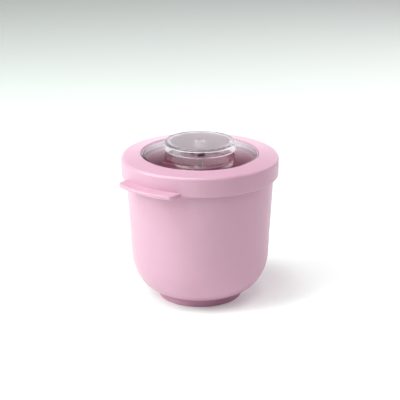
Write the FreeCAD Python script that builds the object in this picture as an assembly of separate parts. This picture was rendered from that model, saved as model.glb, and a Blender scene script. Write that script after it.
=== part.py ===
import FreeCAD, Part
import math
import os

# A hand-turned ice cream maker: an insulated pot on a foot ring, a removable bowl with a
# freezing gel in its walls, and a push-on lid that carries a clear window, a clear turning
# knob and the dasher that the knob drives. Millimetres, +Z up. The origin is the centre of
# the foot's underside and Z is the axis that everything turns about. The lid's pull tab
# points along -Y.

# ---- driving dimensions -----------------------------------------------------------------
LID_R = 75.0            # outside of the lid's skirt
LID_TOP = 140.6         # where the lid's top meets its skirt
LID_CROWN = 2.2         # rise of the lid's top from its rim to the window
LID_EDGE = 3.2          # rounding between the lid's top and its skirt
SKIRT_LOW = 121.9       # lower edge of the skirt
SHOULDER_R = 66.6       # the pot's radius where its side turns in towards the foot
SHOULDER_Z = 48.1
SIDE_SLOPE = 0.0528     # growth of the pot's radius for each millimetre of height
FOOT_R = 40.5
FOOT_HEIGHT = 8.5
POT_TOP = 127.0         # rim of the outer bowl, hidden inside the skirt
WINDOW_R = 56.4         # opening in the lid
TAB_R = 86.6            # outer edge of the pull tab
TAB_WIDTH = 65.0
TAB_LOW = 122.0
TAB_TOP = 126.2
TAB_CORNER = 5.0        # rounding of its two corners, seen from above
TAB_EDGE = 1.3          # rounding of its rim
KNOB_R = 34.5           # the knob at its lower edge
KNOB_RIM_R = 33.3       # and at its flat top
KNOB_TOP = 154.4
KNOB_LOW = 146.8
SHAFT_R = 3.0

# ---- walls, measured inwards from the pot's outer face --------------------------------------
POT_WALL = 2.2
FOAM_OUT, FOAM_IN = 2.35, 6.35
LINER_OUT, LINER_IN = 6.5, 8.2
SHELL_OUT, SHELL_IN = 9.0, 10.7
GEL_OUT, GEL_IN = 10.8, 18.3
BOWL_OUT, BOWL_IN = 18.4, 20.0
BLADE_OUT, BLADE_IN = 20.6, 25.4
PADDLE_OUT = 23.0
BOWL_FLOOR_R = 30.0     # flat part of the freezing bowl's floor

# ---- heights in the rim stack, from the pot's rim upwards -------------------------------------
FLANGE = 1.6
GAP = 0.1
LINER_TOP = POT_TOP + FLANGE
SHELL_TOP = LINER_TOP + GAP + FLANGE
GASKET = 0.8
BOWL_TOP = SHELL_TOP + GASKET + FLANGE
CLAMP_TOP = BOWL_TOP + 1.4
LID_PLATE = 136.6       # underside of the lid over the clamp ring
WINDOW_SEAT = 139.9     # underside of the lip that holds the window down
SEAT_R = 61.4
RETAINER_TOP = 137.1
RETAINER_LOW = 135.2
SCREW_RING_R = 64.0
RETAINER_SCREWS = 6
BASE_SCREWS = 3
BASE_SCREW_R = 24.0

FIT = 0.06              # radial clearance of a running fit
BIG = 400.0             # beyond every piece

# ---- countersunk screws -----------------------------------------------------------------------
HEAD_R = 2.5
HEAD = 1.2              # height of the head
HEAD_RIM = 0.25
SHANK_R = 1.2
SLOT = 0.7


# ---- helpers --------------------------------------------------------------------------------
def point(radius, height):
    return FreeCAD.Vector(radius, 0, height)


def corner_arc(before, corner, after, radius):
    """The two ends and the middle of an arc that rounds off the corner of an outline."""
    back = (before - corner).normalize()
    ahead = (after - corner).normalize()
    half = back.getAngle(ahead) / 2
    run = radius / math.tan(half)
    inward = (back + ahead).normalize()
    middle = corner + inward * (radius / math.sin(half) - radius)
    return corner + back * run, middle, corner + ahead * run


def outline_face(outline):
    """The face inside a closed outline of (across, height) or (across, height, rounding)."""
    corners = [point(*entry[:2]) for entry in outline]
    ends = []
    edges = []
    for index, entry in enumerate(outline):
        rounding = entry[2] if len(entry) == 3 else 0
        here = corners[index]
        if rounding:
            after = corners[(index + 1) % len(corners)]
            start, middle, end = corner_arc(corners[index - 1], here, after, rounding)
            edges.append(Part.Arc(start, middle, end).toShape())
            ends.append((start, end))
        else:
            ends.append((here, here))
    for index, (start, _) in enumerate(ends):
        edges.append(Part.LineSegment(ends[index - 1][1], start).toShape())
    return Part.Face(Part.Wire(Part.__sortEdges__(edges)))


def turned(outline):
    """Revolve a closed outline about Z."""
    return outline_face(outline).revolve(FreeCAD.Vector(), FreeCAD.Vector(0, 0, 1), 360)


def slab(outline, half):
    """A flat piece with this outline in the XZ plane, half thick on each side of it."""
    solid = outline_face(outline).extrude(FreeCAD.Vector(0, 2 * half, 0))
    solid.translate(FreeCAD.Vector(0, -half, 0))
    return solid


def ring(inner, outer, low, high, rounding=0.0):
    """A plain ring, or a disc when inner is 0."""
    if rounding:
        return turned([(inner, low, rounding), (outer, low, rounding),
                       (outer, high, rounding), (inner, high, rounding)])
    return turned([(inner, low), (outer, low), (outer, high), (inner, high)])


def cylinder(radius, low, high, x=0.0, y=0.0):
    return Part.makeCylinder(radius, high - low, FreeCAD.Vector(x, y, low))


def block(x_low, x_high, y_low, y_high, z_low, z_high):
    size = (x_high - x_low, y_high - y_low, z_high - z_low)
    return Part.makeBox(*size, FreeCAD.Vector(x_low, y_low, z_low))


def side_r(inset, height):
    """Radius of the pot's side, moved in by inset, at a height above the shoulder."""
    return SHOULDER_R - inset + SIDE_SLOPE * (height - SHOULDER_Z)


def pot_space(inset, top, floor_r=FOOT_R):
    """The room inside the pot's outer face, moved in by inset, up to the height top."""
    low = FOOT_HEIGHT + inset
    foot = point(floor_r, low)
    shoulder = point(SHOULDER_R - inset, SHOULDER_Z)
    centre = point(floor_r, SHOULDER_Z)
    ellipse = Part.Ellipse(foot, shoulder, centre)
    across = SHOULDER_R - inset - floor_r
    down = SHOULDER_Z - low
    middle = point(floor_r + across * math.sqrt(0.5), SHOULDER_Z - down * math.sqrt(0.5))
    first = ellipse.parameter(foot)
    last = ellipse.parameter(shoulder)
    curve = Part.ArcOfEllipse(ellipse, first, last)
    halfway = curve.value((curve.FirstParameter + curve.LastParameter) / 2)
    if (halfway - middle).Length > 1:
        curve = Part.ArcOfEllipse(ellipse, last, first)
    rim = point(side_r(inset, top), top)
    axis_top = point(0, top)
    axis_low = point(0, low)
    edges = [
        Part.LineSegment(axis_low, foot).toShape(),
        curve.toShape(),
        Part.LineSegment(shoulder, rim).toShape(),
        Part.LineSegment(rim, axis_top).toShape(),
        Part.LineSegment(axis_top, axis_low).toShape(),
    ]
    wire = Part.Wire(Part.__sortEdges__(edges))
    return Part.Face(wire).revolve(FreeCAD.Vector(), FreeCAD.Vector(0, 0, 1), 360)


def around(count, radius, start=0.0):
    """Evenly spaced places on a circle, as (x, y)."""
    for index in range(count):
        angle = math.radians(start + 360 * index / count)
        yield radius * math.cos(angle), radius * math.sin(angle)


def countersunk_screw(x, y, face, length):
    """A screw driven upwards, with its head flush with face and a slot across the head."""
    body = turned([(0, 0), (HEAD_R, 0), (HEAD_R, HEAD_RIM), (SHANK_R, HEAD),
                   (SHANK_R, length - 0.6), (0.5, length), (0, length)])
    body = body.cut(block(-HEAD_R, HEAD_R, -SLOT / 2, SLOT / 2, -1, HEAD / 2))
    body.translate(FreeCAD.Vector(x, y, face))
    return body


def screw_seat(x, y, face, length):
    """The hole that a countersunk screw needs, a little larger than the screw."""
    head_r = HEAD_R + 0.15
    shank_r = SHANK_R + FIT
    end = length + 0.2
    seat = turned([(0, -1), (head_r, -1), (head_r, HEAD_RIM + 0.05), (shank_r, HEAD + 0.15),
                   (shank_r, end), (0, end)])
    seat.translate(FreeCAD.Vector(x, y, face))
    return seat


def flat_sided(radius, flat, low, high):
    """A round bar with one flat side, for parts that have to turn together."""
    return cylinder(radius, low, high).cut(block(flat, BIG, -BIG, BIG, low - 1, high + 1))


# ---- the pot --------------------------------------------------------------------------------
SPIGOT_OUT = 36.2       # collar under the bowl that the foot ring is pushed over
SPIGOT_IN = 33.6
SPIGOT_LOW = 1.4
PLATE_LOW, PLATE_TOP = 2.0, 4.0
BASE_SCREW_LENGTH = 6.0
BASE_SCREW_START = 30.0  # turn of the first screw, in degrees
PILLAR_R = 3.8


def outer_bowl():
    body = pot_space(0, POT_TOP).cut(pot_space(POT_WALL, BIG))
    body = body.fuse(ring(SPIGOT_IN, SPIGOT_OUT, SPIGOT_LOW, FOOT_HEIGHT))
    for x, y in around(BASE_SCREWS, BASE_SCREW_R, BASE_SCREW_START):
        body = body.fuse(cylinder(PILLAR_R, PLATE_TOP + 0.05, FOOT_HEIGHT, x, y))
        body = body.cut(screw_seat(x, y, PLATE_LOW, BASE_SCREW_LENGTH))
    return body.removeSplitter()


def foot_ring():
    inner = SPIGOT_OUT + GAP
    top = FOOT_HEIGHT - GAP
    return turned([(inner, 0, 0.6), (FOOT_R, 0, 1.2), (FOOT_R + 0.3, top), (inner, top)])


def base_plate():
    body = ring(0, SPIGOT_IN - 0.15, PLATE_LOW, PLATE_TOP)
    for x, y in around(BASE_SCREWS, BASE_SCREW_R, BASE_SCREW_START):
        body = body.cut(screw_seat(x, y, PLATE_LOW, BASE_SCREW_LENGTH))
    return body


def base_screws():
    places = around(BASE_SCREWS, BASE_SCREW_R, BASE_SCREW_START)
    screws = [countersunk_screw(x, y, PLATE_LOW, BASE_SCREW_LENGTH) for x, y in places]
    return Part.Compound(screws)


def insulation_liner():
    return pot_space(FOAM_OUT, POT_TOP - GAP).cut(pot_space(FOAM_IN, BIG))


def liner_cup():
    lip = ring(side_r(LINER_OUT, POT_TOP), side_r(0, POT_TOP), POT_TOP, LINER_TOP)
    body = pot_space(LINER_OUT, LINER_TOP).fuse(lip)
    return body.cut(pot_space(LINER_IN, BIG)).removeSplitter()


# ---- the freezer bowl -----------------------------------------------------------------------
SHELL_FLANGE_R = 68.4
PORT_R = 5.0            # filling port for the gel
PORT_BOSS_R = 9.0
PORT_TOP = 23.0
HOOK = 0.7              # reach of the clamp ring's bead under the shell's flange
CLAMP_IN, CLAMP_OUT = 60.5, 70.7
BUSH_R = 6.0
BUSH_TOP = 32.0
PIVOT_R = 2.5


def canister_shell():
    """The outside of the freezer bowl; its flange is stepped for the clamp ring's bead."""
    low = SHELL_TOP - FLANGE
    step = low + 0.6
    step_r = SHELL_FLANGE_R - HOOK - 0.2
    body = pot_space(SHELL_OUT, SHELL_TOP).fuse(ring(0, step_r, low, SHELL_TOP))
    body = body.fuse(ring(0, SHELL_FLANGE_R, step, SHELL_TOP))
    floor = FOOT_HEIGHT + SHELL_OUT
    boss = cylinder(PORT_BOSS_R, floor + 1, PORT_TOP)
    body = body.cut(pot_space(SHELL_IN, BIG)).fuse(boss)
    return body.cut(cylinder(PORT_R, floor - 1, PORT_TOP + 1)).removeSplitter()


def fill_plug():
    """A plug with a coin slot across its underside."""
    radius = PORT_R - FIT
    low = FOOT_HEIGHT + SHELL_OUT
    top = PORT_TOP - 0.5
    body = turned([(0, low), (radius, low, 0.3), (radius, top, 0.8), (0, top)])
    return body.cut(block(-3.5, 3.5, -0.6, 0.6, low - 1, low + 1.4))


def cooling_gel():
    """The gel fills the wall to 3 mm below the rim, which leaves room for it to expand."""
    body = pot_space(GEL_OUT, POT_TOP - 3).cut(pot_space(GEL_IN, BIG, BOWL_FLOOR_R))
    return body.cut(cylinder(PORT_BOSS_R + GAP, 0, PORT_TOP + GAP))


def freezing_bowl():
    flange = ring(0, SHELL_FLANGE_R - 0.4, BOWL_TOP - FLANGE, BOWL_TOP)
    body = pot_space(BOWL_OUT, BOWL_TOP, BOWL_FLOOR_R).fuse(flange)
    return body.cut(pot_space(BOWL_IN, BIG, BOWL_FLOOR_R)).removeSplitter()


def bowl_gasket():
    return ring(58.5, 66.5, SHELL_TOP, SHELL_TOP + GASKET)


def clamp_ring():
    """A ring that snaps over both flanges and holds them against the gasket."""
    bead_low = SHELL_TOP - FLANGE + 0.05
    edge = SHELL_FLANGE_R + GAP
    return turned([(CLAMP_IN, BOWL_TOP), (edge, BOWL_TOP), (edge, bead_low + 0.5),
                   (edge - HOOK, bead_low + 0.4), (edge - HOOK, bead_low), (CLAMP_OUT, bead_low),
                   (CLAMP_OUT, CLAMP_TOP, 0.6), (CLAMP_IN, CLAMP_TOP, 0.5)])


def pivot_bush():
    floor = FOOT_HEIGHT + BOWL_IN
    body = turned([(0, floor), (BUSH_R, floor), (BUSH_R, BUSH_TOP, 0.8), (0, BUSH_TOP)])
    return body.cut(cylinder(PIVOT_R + FIT, floor + 1.0, BUSH_TOP + 1))


# ---- the lid --------------------------------------------------------------------------------
LID_INNER_R = 72.4      # inside of the skirt
RECESS_R = 66.8         # recess under the lid for the retainer
RETAINER_IN = 54.4
RETAINER_SCREW = 5.2    # length of its screws
PLATE_GAP = 0.05        # between parts that are screwed face to face
FLANGE_TOP = 138.9      # top of the window's flange
FLANGE_R = SEAT_R - 0.25
STEP_R = WINDOW_R - 0.25  # the part of the window that stands up through the lid
WINDOW_RIM = 142.3
WINDOW_WALL = 2.2
CREST_R, CREST = 30.0, 143.4
EYE_R, EYE_LOW, EYE_TOP = 9.5, 140.4, 144.7  # thickened middle that carries the bush
EYE_HOLE_R = 5.6
LID_BUSH_TOP = 145.6


def lid_top_z(radius):
    return LID_TOP + LID_CROWN * (LID_R - radius) / (LID_R - WINDOW_R)


def pull_tab():
    half = TAB_WIDTH / 2
    plan = block(-half, half, -TAB_R - 1, -40, TAB_LOW, TAB_TOP)
    tab = cylinder(TAB_R, TAB_LOW, TAB_TOP).common(plan).removeSplitter()
    tab = tab.makeFillet(TAB_CORNER, [edge for edge in tab.Edges if is_outer_corner(edge)])
    return tab.makeFillet(TAB_EDGE, [edge for edge in tab.Edges if is_outer_rim(edge)])


def is_outer_corner(edge):
    box = edge.BoundBox
    return box.ZLength > 1 and box.YMax < -LID_R


def is_outer_rim(edge):
    box = edge.BoundBox
    return box.ZLength < 0.01 and box.YMin < -45


def lid_ring():
    recess = RETAINER_TOP + PLATE_GAP
    screw_end = RETAINER_LOW + RETAINER_SCREW
    body = turned([(LID_INNER_R, SKIRT_LOW, 0.5), (LID_R, SKIRT_LOW, 1.6),
                   (LID_R, LID_TOP, LID_EDGE), (WINDOW_R, lid_top_z(WINDOW_R), 0.9),
                   (WINDOW_R, WINDOW_SEAT), (SEAT_R, WINDOW_SEAT), (SEAT_R, recess),
                   (RECESS_R, recess), (RECESS_R, LID_PLATE), (LID_INNER_R, LID_PLATE, 1.0)])
    body = body.fuse(pull_tab().cut(cylinder(LID_R - 1.2, 0, BIG)))
    for x, y in around(RETAINER_SCREWS, SCREW_RING_R):
        body = body.cut(cylinder(SHANK_R + 0.05, RETAINER_LOW, screw_end + 0.1, x, y))
    return body.removeSplitter()


def lid_gasket():
    return ring(67.4, 70.4, CLAMP_TOP + GAP, LID_PLATE, 0.5)


def dome_window():
    """The clear window: a flange under the lid, a raised edge and a slightly crowned top."""
    inner = STEP_R - WINDOW_WALL
    low = RETAINER_TOP + PLATE_GAP
    eye = CREST + 0.4
    return turned([(inner, low), (FLANGE_R, low, 0.4), (FLANGE_R, FLANGE_TOP, 0.4),
                   (STEP_R, FLANGE_TOP), (STEP_R, WINDOW_RIM, 1.3), (CREST_R, CREST),
                   (EYE_R, eye), (EYE_R, EYE_TOP, 0.4), (EYE_HOLE_R, EYE_TOP),
                   (EYE_HOLE_R, EYE_LOW), (EYE_R, EYE_LOW, 0.4), (EYE_R, eye - WINDOW_WALL),
                   (CREST_R, CREST - WINDOW_WALL), (inner, WINDOW_RIM - WINDOW_WALL, 1.0)])


def dome_seal():
    return ring(57.2, 61.0, FLANGE_TOP + PLATE_GAP, WINDOW_SEAT - 0.02)


def dome_retainer():
    outer = RECESS_R - 0.4
    body = turned([(RETAINER_IN, RETAINER_LOW, 0.6), (outer, RETAINER_LOW, 0.6),
                   (outer, RETAINER_TOP), (RETAINER_IN, RETAINER_TOP)])
    for x, y in around(RETAINER_SCREWS, SCREW_RING_R):
        body = body.cut(screw_seat(x, y, RETAINER_LOW, RETAINER_SCREW))
    return body


def retainer_screws():
    places = around(RETAINER_SCREWS, SCREW_RING_R)
    screws = [countersunk_screw(x, y, RETAINER_LOW, RETAINER_SCREW) for x, y in places]
    return Part.Compound(screws)


def shaft_bush():
    """A flanged bush in the window's eye."""
    bore = SHAFT_R + FIT
    sleeve_r = EYE_HOLE_R - GAP
    low = EYE_LOW + GAP
    flange = EYE_TOP + PLATE_GAP
    return turned([(bore, low), (sleeve_r, low), (sleeve_r, flange), (8.0, flange),
                   (8.0, LID_BUSH_TOP, 0.3), (bore, LID_BUSH_TOP)])


# ---- the knob, shaft and dasher ---------------------------------------------------------------
KNOB_PLATE = 1.9        # thickness of the knob's top
KNOB_WALL = 1.6
HUB_R = 5.2
HUB_LOW = 146.3
FLAT = 2.2              # distance of the shaft's driving flat from its axis
SHAFT_LOW = 30.0
SHAFT_TOP = 151.6
GROOVE_R, GROOVE_LOW, GROOVE_TOP = 2.4, 139.45, 140.35
DASHER_HUB_TOP = 126.0
PADDLE_TOP = 122.0
BLADE_TOP = 118.0
PADDLE_HALF = 1.7       # half of the paddle's thickness
BLADE_HALF = 0.8
BLADE_START = 9.5       # inner end of a blade, along the bowl's floor
ARM = 7.0               # width of the paddle's bars
DASHER_HUB_R = 6.2
PADDLE_WINDOWS = [(1, 40, 73), (1, 80, 112), (-1, 40, 60), (-1, 67, 112)]


def turn_knob():
    """A clear inverted cup with a flat top, and a hub inside that takes the shaft."""
    under = KNOB_TOP - KNOB_PLATE
    cup = turned([(KNOB_R - KNOB_WALL, KNOB_LOW, 0.3), (KNOB_R, KNOB_LOW, 0.5),
                  (KNOB_RIM_R, KNOB_TOP, 1.1), (0, KNOB_TOP), (0, under),
                  (KNOB_RIM_R - KNOB_WALL, under, 1.2)])
    hub = cylinder(HUB_R, HUB_LOW, under + 0.5)
    socket = flat_sided(SHAFT_R + 0.05, FLAT + 0.05, HUB_LOW - 1, SHAFT_TOP + 0.1)
    return cup.fuse(hub).removeSplitter().cut(socket)


def drive_shaft():
    body = turned([(0, SHAFT_LOW), (PIVOT_R, SHAFT_LOW, 0.4), (PIVOT_R, BUSH_TOP + 1.0),
                   (SHAFT_R, BUSH_TOP + 1.0), (SHAFT_R, SHAFT_TOP, 0.3), (0, SHAFT_TOP)])
    body = body.cut(ring(GROOVE_R, BIG, GROOVE_LOW, GROOVE_TOP))
    for low, high in ((BUSH_TOP + 2, DASHER_HUB_TOP), (HUB_LOW - 0.1, SHAFT_TOP + 1)):
        body = body.cut(block(FLAT, BIG, -BIG, BIG, low, high))
    return body


def thrust_washer():
    return ring(SHAFT_R + 0.15, 7.5, LID_BUSH_TOP + 0.05, HUB_LOW - 0.05)


def retaining_clip():
    """A C-shaped clip that snaps sideways into the shaft's groove."""
    body = ring(GROOVE_R + 0.05, 6.2, GROOVE_LOW + 0.05, GROOVE_TOP - 0.05)
    return body.cut(block(0, BIG, -1.7, 1.7, GROOVE_LOW, GROOVE_TOP))


def paddle_window(low, high, side):
    """One opening of the paddle's frame, between the hub and the outer bar on one side of X."""
    inner = DASHER_HUB_R + 2.5
    reach = PADDLE_OUT + ARM
    edge = [(side * side_r(reach, low), low, 3)]
    if low < SHOULDER_Z:
        turn_in = 10
        edge = [(side * (side_r(reach, SHOULDER_Z) - 4), low, 3),
                (side * side_r(reach, low + turn_in), low + turn_in, 3)]
    return slab([(side * inner, low, 3), *edge, (side * side_r(reach, high), high, 3),
                 (side * inner, high, 3)], PADDLE_HALF + 1)


def dasher():
    """A flat paddle on a hub, with open windows that differ from side to side."""
    plate = block(-BIG, BIG, -PADDLE_HALF, PADDLE_HALF, 0, BIG)
    frame = pot_space(PADDLE_OUT, PADDLE_TOP, BOWL_FLOOR_R).common(plate)
    for side, low, high in PADDLE_WINDOWS:
        frame = frame.cut(paddle_window(low, high, side))
    frame = frame.fuse(ring(0, DASHER_HUB_R, BUSH_TOP + 1, DASHER_HUB_TOP, 0.8))
    frame = frame.cut(cylinder(BUSH_R + 0.8, 0, BUSH_TOP + 0.9))
    slot = pot_space(PADDLE_OUT - 1, BLADE_TOP + 0.2, BOWL_FLOOR_R)
    slot = slot.cut(pot_space(BLADE_IN + 0.1, BIG, BOWL_FLOOR_R))
    frame = frame.cut(slot.common(block(-BIG, BIG, -BLADE_HALF - 0.06, BLADE_HALF + 0.06, 0, BIG)))
    bore = flat_sided(SHAFT_R + 0.05, FLAT + 0.05, BUSH_TOP + 2, BIG)
    return frame.cut(bore).cut(cylinder(SHAFT_R + 0.05, 0, BUSH_TOP + 2.05)).removeSplitter()


def scraper_blades():
    """Two soft strips, one along each outer edge of the paddle, that follow the bowl's wall."""
    strip = pot_space(BLADE_OUT, BLADE_TOP, BOWL_FLOOR_R)
    strip = strip.cut(pot_space(BLADE_IN, BIG, BOWL_FLOOR_R))
    right = strip.common(block(BLADE_START, BIG, -BLADE_HALF, BLADE_HALF, 0, BIG))
    left = right.copy()
    left.rotate(FreeCAD.Vector(), FreeCAD.Vector(0, 0, 1), 180)
    return Part.Compound([right, left])


# ---- write one STEP for each piece ------------------------------------------------------------
PIECES = {
    "outer_bowl": outer_bowl,
    "foot_ring": foot_ring,
    "base_plate": base_plate,
    "base_screws": base_screws,
    "insulation_liner": insulation_liner,
    "liner_cup": liner_cup,
    "canister_shell": canister_shell,
    "freezing_bowl": freezing_bowl,
    "cooling_gel": cooling_gel,
    "bowl_gasket": bowl_gasket,
    "clamp_ring": clamp_ring,
    "fill_plug": fill_plug,
    "pivot_bush": pivot_bush,
    "lid_ring": lid_ring,
    "lid_gasket": lid_gasket,
    "dome_window": dome_window,
    "dome_seal": dome_seal,
    "dome_retainer": dome_retainer,
    "retainer_screws": retainer_screws,
    "shaft_bush": shaft_bush,
    "turn_knob": turn_knob,
    "drive_shaft": drive_shaft,
    "thrust_washer": thrust_washer,
    "retaining_clip": retaining_clip,
    "dasher": dasher,
    "scraper_blades": scraper_blades,
}

os.makedirs("parts", exist_ok=True)
for name, make in PIECES.items():
    shape = make()
    shape.exportStep("parts/" + name + ".step")
    print(name, len(shape.Solids), shape.isValid(), round(shape.Volume))
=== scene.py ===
import bpy
import math
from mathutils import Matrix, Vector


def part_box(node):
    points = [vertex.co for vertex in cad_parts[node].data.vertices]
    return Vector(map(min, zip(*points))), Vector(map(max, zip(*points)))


# The ice cream maker's looks: every piece is the CAD model's own mesh with a procedural
# material, on a sheet of white paper under soft studio light. Metres and watts, +Z up.
# Colours are linear red, green and blue.

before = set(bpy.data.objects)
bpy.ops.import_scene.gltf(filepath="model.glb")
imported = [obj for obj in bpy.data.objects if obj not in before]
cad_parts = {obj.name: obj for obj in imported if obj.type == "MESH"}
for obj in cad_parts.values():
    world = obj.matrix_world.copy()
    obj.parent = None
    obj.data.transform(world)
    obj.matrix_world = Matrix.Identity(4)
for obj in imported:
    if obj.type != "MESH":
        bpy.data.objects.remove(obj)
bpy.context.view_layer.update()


# ---- node helpers ---------------------------------------------------------------------------
NOISE_ROUGHNESS = 0.55
NOISE_MIDDLE = (0.3, 0.7)       # most of a noise lies between these values


def new_material(name):
    """A material with one Principled shader and an Object coordinate to build on."""
    material = bpy.data.materials.new(name)
    material.use_nodes = True
    shader = material.node_tree.nodes["Principled BSDF"]
    place = add(material, "ShaderNodeTexCoord").outputs["Object"]
    return material, shader, place


def add(owner, kind, **values):
    """A new node in a material or world; values name its properties or input sockets."""
    node = owner.node_tree.nodes.new(kind)
    for key, value in values.items():
        socket = key.replace("_", " ")
        if socket in node.inputs:
            node.inputs[socket].default_value = value
        else:
            setattr(node, key, value)
    return node


def link(owner, start, end):
    owner.node_tree.links.new(start, end)


def stretched(owner, place, stretch):
    mapping = add(owner, "ShaderNodeMapping", Scale=stretch)
    link(owner, place, mapping.inputs["Vector"])
    return mapping.outputs["Vector"]


def noise(owner, place, scale, detail=3.0, stretch=(1, 1, 1)):
    """Noise with scale features per metre, drawn out along an axis where stretch is small."""
    texture = add(owner, "ShaderNodeTexNoise", Scale=scale, Detail=detail,
                  Roughness=NOISE_ROUGHNESS)
    link(owner, stretched(owner, place, stretch), texture.inputs["Vector"])
    return texture.outputs["Fac"]


def cells(owner, place, scale):
    """Rounded cells like those of a foam, scale of them per metre."""
    texture = add(owner, "ShaderNodeTexVoronoi", Scale=scale)
    link(owner, place, texture.inputs["Vector"])
    return texture.outputs["Distance"]


def ramp(owner, value, start, end, low, high, smooth=False):
    """Maps start..end to low..high and holds it there beyond them."""
    node = add(owner, "ShaderNodeMapRange", From_Min=start, From_Max=end, To_Min=low, To_Max=high)
    if smooth:
        node.interpolation_type = "SMOOTHSTEP"
    link(owner, value, node.inputs["Value"])
    return node.outputs["Result"]


def spread(owner, value, low, high):
    """Maps the middle range of a noise to low..high."""
    return ramp(owner, value, *NOISE_MIDDLE, low, high)


def maths(owner, operation, first, second):
    node = add(owner, "ShaderNodeMath", operation=operation)
    link(owner, first, node.inputs[0])
    if isinstance(second, (int, float)):
        node.inputs[1].default_value = second
    else:
        link(owner, second, node.inputs[1])
    return node.outputs[0]


def tinted(owner, value, dark, light):
    """A colour between dark and light by value."""
    mix = add(owner, "ShaderNodeMix", data_type="RGBA")
    first, second = [socket for socket in mix.inputs if socket.type == "RGBA"]
    first.default_value = (*dark, 1)
    second.default_value = (*light, 1)
    link(owner, value, mix.inputs["Factor"])
    return next(socket for socket in mix.outputs if socket.type == "RGBA")


def bumped(owner, shader, height, depth, strength=0.3):
    bump = add(owner, "ShaderNodeBump", Strength=strength, Distance=depth)
    link(owner, height, bump.inputs["Height"])
    link(owner, bump.outputs["Normal"], shader.inputs["Normal"])


def set_constants(shader, constants):
    for key, value in constants.items():
        shader.inputs[key.replace("_", " ")].default_value = value


# ---- materials ------------------------------------------------------------------------------
SLOW = 22               # features per metre of the slow changes of tone
PATCH = 90              # and of the patches of gloss
PLASTIC_IOR = 1.49
GEL_IOR = 1.36
FOAM_CELLS = 900        # per metre
STEEL_RINGS = 60        # features per metre across Z, and how many times more along Z
SATIN = (0.28, 0.36)    # ranges of roughness
RUBBER = (0.55, 0.68)
ACRYLIC_TINTS = ((0.955, 0.95, 0.965), (0.975, 0.97, 0.98))
ACRYLIC_SHADOW = (0.75, 0.70, 0.73, 1)      # what the acrylic lets through to what it shades
ACRYLIC_HAZE = (0.012, 0.035)
FROST_EDGE = 0.001      # width over which a frosted disc fades out
FROST_SKIN = 0.0002     # and the thickness over which it ends


def moulded(name, dark, light, rough, grain=2600, depth=0.00002, **constants):
    """Moulded plastic or rubber: slow changes of tone, patches of gloss and a spark grain."""
    material, shader, place = new_material(name)
    tone = spread(material, noise(material, place, SLOW, 2), 0, 1)
    link(material, tinted(material, tone, dark, light), shader.inputs["Base Color"])
    gloss = spread(material, noise(material, place, PATCH, 4), *rough)
    link(material, gloss, shader.inputs["Roughness"])
    bumped(material, shader, noise(material, place, grain, 2), depth)
    set_constants(shader, {"IOR": PLASTIC_IOR, **constants})
    return material


def foam(name, dark, light):
    """Cut closed-cell foam, with small rounded cells and a chalky surface."""
    material, shader, place = new_material(name)
    bubbles = cells(material, place, FOAM_CELLS)
    link(material, tinted(material, ramp(material, bubbles, 0, 0.6, 0, 1), dark, light),
         shader.inputs["Base Color"])
    link(material, spread(material, noise(material, place, PATCH), 0.85, 0.95),
         shader.inputs["Roughness"])
    bumped(material, shader, bubbles, 0.0003, 0.6)
    return material


def turned_steel(name, dark, light):
    """Stainless steel with the fine rings that turning leaves round Z."""
    material, shader, place = new_material(name)
    rings = noise(material, place, STEEL_RINGS, 4, (1, 1, STEEL_RINGS))
    link(material, tinted(material, spread(material, rings, 0, 1), dark, light),
         shader.inputs["Base Color"])
    link(material, spread(material, noise(material, place, PATCH, 4), 0.24, 0.36),
         shader.inputs["Roughness"])
    bumped(material, shader, rings, 0.00001)
    set_constants(shader, {"Metallic": 1.0})
    return material


def gel(name, dark, light):
    """Cloudy blue freezing gel."""
    material, shader, place = new_material(name)
    clouds = noise(material, place, 60, 5)
    link(material, tinted(material, spread(material, clouds, 0, 1), dark, light),
         shader.inputs["Base Color"])
    link(material, spread(material, noise(material, place, PATCH), 0.1, 0.22),
         shader.inputs["Roughness"])
    bumped(material, shader, clouds, 0.0002)
    set_constants(shader, {"Transmission Weight": 0.35, "IOR": GEL_IOR})
    return material


def clear(name, frost=None):
    """Clear acrylic that lets the lamps through.

    frost is (radius, height, amount): inside that radius, the surface below that height is
    hazed, like the frosted underside of a clear cap.
    """
    material, shader, place = new_material(name)
    haze = spread(material, noise(material, place, 120, 3), *ACRYLIC_HAZE)
    if frost:
        radius, height, amount = frost
        flat = add(material, "ShaderNodeVectorMath", operation="MULTIPLY")
        flat.inputs[1].default_value = (1, 1, 0)
        link(material, place, flat.inputs[0])
        out = add(material, "ShaderNodeVectorMath", operation="LENGTH")
        link(material, flat.outputs["Vector"], out.inputs[0])
        split = add(material, "ShaderNodeSeparateXYZ")
        link(material, place, split.inputs[0])
        inside = ramp(material, out.outputs["Value"], radius, radius + FROST_EDGE, amount, 0)
        below = ramp(material, split.outputs["Z"], height, height + FROST_SKIN, 1, 0)
        haze = maths(material, "ADD", haze, maths(material, "MULTIPLY", inside, below))
    link(material, haze, shader.inputs["Roughness"])
    tone = spread(material, noise(material, place, SLOW, 2), 0, 1)
    link(material, tinted(material, tone, *ACRYLIC_TINTS), shader.inputs["Base Color"])
    bumped(material, shader, noise(material, place, 40, 2), 0.00003, 0.2)
    set_constants(shader, {"Transmission Weight": 1.0, "IOR": PLASTIC_IOR})
    through = add(material, "ShaderNodeBsdfTransparent", Color=ACRYLIC_SHADOW)
    mix = add(material, "ShaderNodeMixShader")
    shadow = add(material, "ShaderNodeLightPath").outputs["Is Shadow Ray"]
    link(material, shadow, mix.inputs["Fac"])
    link(material, shader.outputs["BSDF"], mix.inputs[1])
    link(material, through.outputs["BSDF"], mix.inputs[2])
    output = material.node_tree.nodes["Material Output"]
    link(material, mix.outputs["Shader"], output.inputs["Surface"])
    return material


def dress(nodes, material):
    """Gives CAD nodes a material."""
    for node in nodes:
        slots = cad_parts[node].data.materials
        slots.clear()
        slots.append(material)


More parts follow.
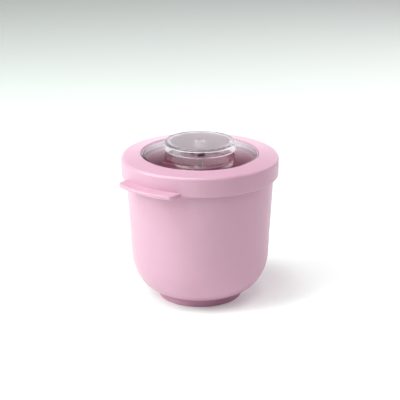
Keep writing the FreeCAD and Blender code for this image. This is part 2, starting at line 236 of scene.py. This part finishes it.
dress(("outer_bowl", "lid_ring", "clamp_ring", "dome_retainer"),
      moulded("satin_pink", (0.593, 0.319, 0.438), (0.610, 0.330, 0.453), SATIN))
dress(("base_plate",),
      moulded("spark_textured_pink", (0.56, 0.32, 0.42), (0.59, 0.335, 0.445), (0.5, 0.6),
              1500, 0.00006))
dress(("foot_ring",),
      moulded("rose_rubber", (0.52, 0.25, 0.365), (0.55, 0.265, 0.39), RUBBER, 1800, 0.00005))
dress(("liner_cup", "canister_shell", "fill_plug"),
      moulded("satin_white", (0.80, 0.80, 0.79), (0.84, 0.84, 0.835), SATIN))
dress(("dasher",),
      moulded("rose_plastic", (0.34, 0.08, 0.15), (0.36, 0.09, 0.165), (0.3, 0.4)))
dress(("scraper_blades",),
      moulded("blade_silicone", (0.60, 0.36, 0.45), (0.64, 0.39, 0.48), (0.45, 0.55),
              1800, 0.00003, Subsurface_Weight=0.15, Subsurface_Scale=0.002))
dress(("bowl_gasket", "lid_gasket", "dome_seal"),
      moulded("seal_silicone", (0.58, 0.46, 0.50), (0.62, 0.50, 0.54), (0.42, 0.52),
              1800, 0.00003, Subsurface_Weight=0.2, Subsurface_Scale=0.002))
dress(("shaft_bush", "thrust_washer", "pivot_bush"),
      moulded("rose_acetal", (0.34, 0.12, 0.19), (0.37, 0.135, 0.21), (0.28, 0.36)))
dress(("freezing_bowl",),
      moulded("rose_coating", (0.36, 0.085, 0.16), (0.39, 0.095, 0.175), (0.3, 0.4),
              700, 0.00004, Coat_Weight=0.3, Coat_Roughness=0.25))
dress(("insulation_liner",), foam("cream_foam", (0.68, 0.66, 0.58), (0.80, 0.78, 0.70)))
dress(("cooling_gel",), gel("freezing_gel", (0.22, 0.44, 0.72), (0.34, 0.56, 0.80)))
dress(("base_screws", "retainer_screws", "drive_shaft", "retaining_clip"),
      turned_steel("turned_steel", (0.56, 0.56, 0.58), (0.66, 0.66, 0.67)))
dress(("dome_window",), clear("clear_acrylic"))

KNOB_FROST_R = 0.0275   # the frosted disc on the underside of the knob's top
KNOB_FROST_DEPTH = 0.0018       # how far below the knob's top it starts
KNOB_FROST = 0.45               # added roughness
knob_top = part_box("turn_knob")[1][2]
dress(("turn_knob",),
      clear("clear_knob_acrylic", (KNOB_FROST_R, knob_top - KNOB_FROST_DEPTH, KNOB_FROST)))

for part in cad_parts.values():
    part.data.shade_smooth()


# ---- floor, light and camera ----------------------------------------------------------------
PAPER_SIZE = 12
PAPER_TINTS = ((0.88, 0.88, 0.88), (0.9, 0.9, 0.9))
PAPER_MOTTLE = 3        # features per metre
PAPER_ROUGHNESS = 0.9
PAPER_LIGHT = 0.018     # what the paper gives off, and what it adds for the camera alone
PAPER_GLOW = 0.115
CAMERA_AZIMUTH = 39.0   # degrees from the lid's tab, turning right
CAMERA_OUT = 1.1828
CAMERA_HEIGHT = 0.5026
CAMERA_DOWN = 19.03     # degrees below level
CAMERA_LENS = 117.0     # millimetres, and the sensor's width
CAMERA_SENSOR = 36
LAMP_DISTANCE = 1.6
COOL = (0.87, 1.0, 0.92)
NEUTRAL = (1.0, 1.0, 1.0)
LAMPS = (               # name, azimuth from the camera, elevation, diameter, watts and colour
    ("key", -70, 45, 1.0, 12.2, COOL),
    ("key_low", -70, 20, 1.0, 9.2, COOL),
    ("key_front", -30, 40, 1.0, 4.4, COOL),
    ("key_side", -90, 20, 0.8, 5.5, COOL),
    ("key_high", -60, 60, 0.6, 4.5, COOL),
    ("top", -70, 80, 0.5, 7.2, COOL),
    ("top_right", 20, 70, 0.8, 5.8, NEUTRAL),
    ("fill_right", 90, 30, 1.0, 5.7, NEUTRAL),
    ("back_right", 130, 35, 1.0, 6.4, NEUTRAL),
    ("top_back", 180, 75, 0.8, 1.6, NEUTRAL),
)
SKY_LIGHT = 0.004
SKY_COLOUR = (0.97, 0.95, 1.0, 1)
BACKDROP_LIGHT = 2.3    # brightness of the lit backdrop behind the object, low down
BACKDROP_AZIMUTH = 172.0        # degrees from the camera
BACKDROP_FADE = (0.12, 0.40)    # sines of the elevations where it starts and ends to fade
BACKDROP_SIDES = (0.55, 0.95)   # cosines of the angles from its middle, likewise


def floor():
    """A large sheet of white paper; it looks a little brighter than it lights."""
    bpy.ops.mesh.primitive_plane_add(size=PAPER_SIZE)
    sheet = bpy.context.object
    sheet.name = "floor"
    material, shader, place = new_material("floor_paper")
    mottle = noise(material, place, PAPER_MOTTLE)
    link(material, tinted(material, mottle, *PAPER_TINTS), shader.inputs["Base Color"])
    set_constants(shader, {"Roughness": PAPER_ROUGHNESS, "Emission Color": (1, 1, 1, 1)})
    seen = add(material, "ShaderNodeLightPath").outputs["Is Camera Ray"]
    glow = ramp(material, seen, 0, 1, PAPER_LIGHT, PAPER_LIGHT + PAPER_GLOW)
    link(material, glow, shader.inputs["Emission Strength"])
    sheet.data.materials.append(material)


def lamp(name, azimuth, elevation, size, power, colour):
    """A round soft light, aimed at the origin."""
    data = bpy.data.lights.new(name, "AREA")
    data.shape = "DISK"
    data.size = size
    data.energy = power
    data.color = colour
    soft = bpy.data.objects.new(name, data)
    bpy.context.scene.collection.objects.link(soft)
    turn = math.radians(CAMERA_AZIMUTH + azimuth)
    tilt = math.radians(elevation)
    soft.location = (LAMP_DISTANCE * math.sin(turn) * math.cos(tilt),
                     -LAMP_DISTANCE * math.cos(turn) * math.cos(tilt),
                     LAMP_DISTANCE * math.sin(tilt))
    soft.rotation_euler = (math.pi / 2 - tilt, 0, turn)


def camera():
    """A long lens a little above the object, aimed at its axis."""
    data = bpy.data.cameras.new("camera")
    data.lens = CAMERA_LENS
    data.sensor_width = CAMERA_SENSOR
    view = bpy.data.objects.new("camera", data)
    bpy.context.scene.collection.objects.link(view)
    turn = math.radians(CAMERA_AZIMUTH)
    view.location = (CAMERA_OUT * math.sin(turn), -CAMERA_OUT * math.cos(turn), CAMERA_HEIGHT)
    view.rotation_euler = (math.radians(90 - CAMERA_DOWN), 0, turn)
    bpy.context.scene.camera = view


def backdrop():
    """A dim surround with a bright soft band low down behind the object."""
    sky = bpy.data.worlds.new("studio")
    bpy.context.scene.world = sky
    sky.use_nodes = True
    direction = add(sky, "ShaderNodeTexCoord").outputs["Generated"]
    split = add(sky, "ShaderNodeSeparateXYZ")
    link(sky, direction, split.inputs[0])
    turn = math.radians(CAMERA_AZIMUTH + BACKDROP_AZIMUTH)
    toward = add(sky, "ShaderNodeVectorMath", operation="DOT_PRODUCT")
    link(sky, direction, toward.inputs[0])
    toward.inputs[1].default_value = (math.sin(turn), -math.cos(turn), 0)
    low = ramp(sky, split.outputs["Z"], *BACKDROP_FADE, 1, 0, smooth=True)
    middle = ramp(sky, toward.outputs["Value"], *BACKDROP_SIDES, 0, 1, smooth=True)
    band = maths(sky, "MULTIPLY", maths(sky, "MULTIPLY", low, middle), BACKDROP_LIGHT)
    back = sky.node_tree.nodes["Background"]
    back.inputs["Color"].default_value = SKY_COLOUR
    link(sky, maths(sky, "ADD", band, SKY_LIGHT), back.inputs["Strength"])


floor()
camera()
backdrop()
for entry in LAMPS:
    lamp(*entry)
bpy.context.scene.view_settings.view_transform = "Standard"
